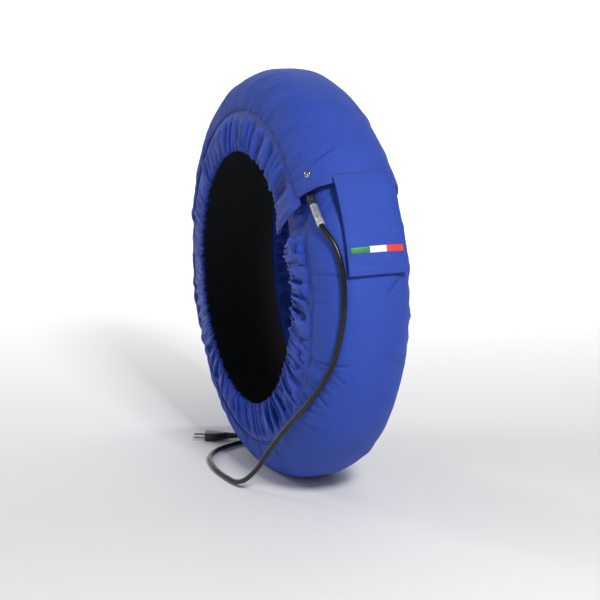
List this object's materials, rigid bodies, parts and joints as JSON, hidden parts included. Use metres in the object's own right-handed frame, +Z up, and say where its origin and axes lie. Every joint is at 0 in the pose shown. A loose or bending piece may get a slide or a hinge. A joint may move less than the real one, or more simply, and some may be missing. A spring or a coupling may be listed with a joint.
{
  "type": "motorcycle tire warmer",
  "caption": "Padded electric heating ring that wraps a motorcycle tyre, with gathered elastic side skirts, a closure tab on its lapped end and a mains cord with a two-pin plug",
  "frame": {"origin": "centre of the foot of the ring's own box, on the surface that it stands on, without the loose cord", "axes": "+Y along the ring's axis, from the side where the cord leaves to the other side; +X from the ring's middle to the side with the closure tab; +Z up"},
  "size_m": [0.6264, 0.313, 0.6169],
  "materials": {
    "cover_cloth": "woven nylon, satin",
    "skirt_cloth": "light woven nylon, satin",
    "elastic": "knitted elastic",
    "felt": "needle felt",
    "glass_cloth": "woven glass cloth",
    "lining_cloth": "matt heat resistant cloth",
    "heating_wire": "silicone sheath",
    "lead_red": "silicone sheath",
    "lead_blue": "silicone sheath",
    "thermostat_metal": "plain metal can",
    "crimp_metal": "tinned brass",
    "loop_pile": "brushed loop pile",
    "hook_web": "moulded hooks",
    "stripe_green": "satin stitch",
    "stripe_white": "satin stitch",
    "stripe_red": "satin stitch",
    "polished_metal": "polished",
    "strap_plastic": "moulded",
    "black_rubber": "smooth, slightly glossy",
    "sleeve_film": "clear shrink tube over silver film",
    "band_film": "silver film",
    "tie_plastic": "moulded"
  },
  "bodies": {
    "root": {"outer_cover": "cover_cloth", "near_skirt": "skirt_cloth", "far_skirt": "skirt_cloth", "near_elastic": "elastic", "far_elastic": "elastic", "padding": "felt", "heater_carrier": "glass_cloth", "inner_lining": "lining_cloth", "heating_wire": "heating_wire", "thermostat": "thermostat_metal", "thermostat_crimp": "crimp_metal", "return_crimp": "crimp_metal", "thermostat_lead": "lead_red", "return_lead": "lead_blue", "closure_tab": "cover_cloth", "loop_tape": "loop_pile", "hook_tape": "hook_web", "stripe_green": "stripe_green", "stripe_white": "stripe_white", "stripe_red": "stripe_red", "rivet_head": "polished_metal", "rivet_washer": "polished_metal", "cable_clip": "strap_plastic", "cable_boot": "black_rubber", "label_sleeve": "sleeve_film", "label_band": "band_film", "power_cord": "black_rubber", "cord_coil": "black_rubber", "coil_tie": "tie_plastic", "cord_tail": "black_rubber", "plug_body": "black_rubber", "plug_pin_left": "polished_metal", "plug_pin_right": "polished_metal"}
  },
  "joints": []
}
